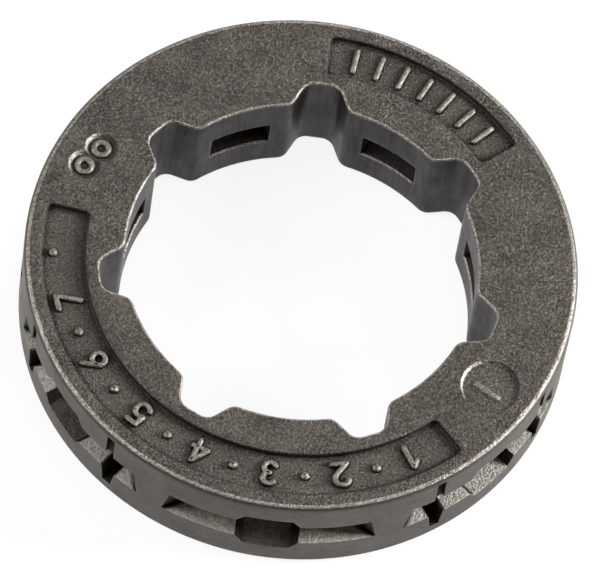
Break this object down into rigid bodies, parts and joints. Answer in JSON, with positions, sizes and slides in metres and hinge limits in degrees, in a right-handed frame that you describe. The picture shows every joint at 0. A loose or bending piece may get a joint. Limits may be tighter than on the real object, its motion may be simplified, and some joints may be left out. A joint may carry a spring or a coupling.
{
  "type": "chainsaw rim sprocket",
  "caption": "Cast chainsaw rim sprocket: a flat ring with a splined bore, slotted drive pockets round its rim and sunken marking panels, turning the saw chain from a clutch drum hub.",
  "frame": {"origin": "bore axis at the lower face", "axes": "+Z along the bore axis towards the marked face, -Y through the middle of the first drive pocket"},
  "size_m": [0.0344, 0.0344, 0.0071],
  "materials": {
    "cast_steel": "investment cast steel, fine grain, worn bright on its edges"
  },
  "bodies": {
    "root": {"rim_sprocket": "cast_steel"}
  },
  "joints": []
}
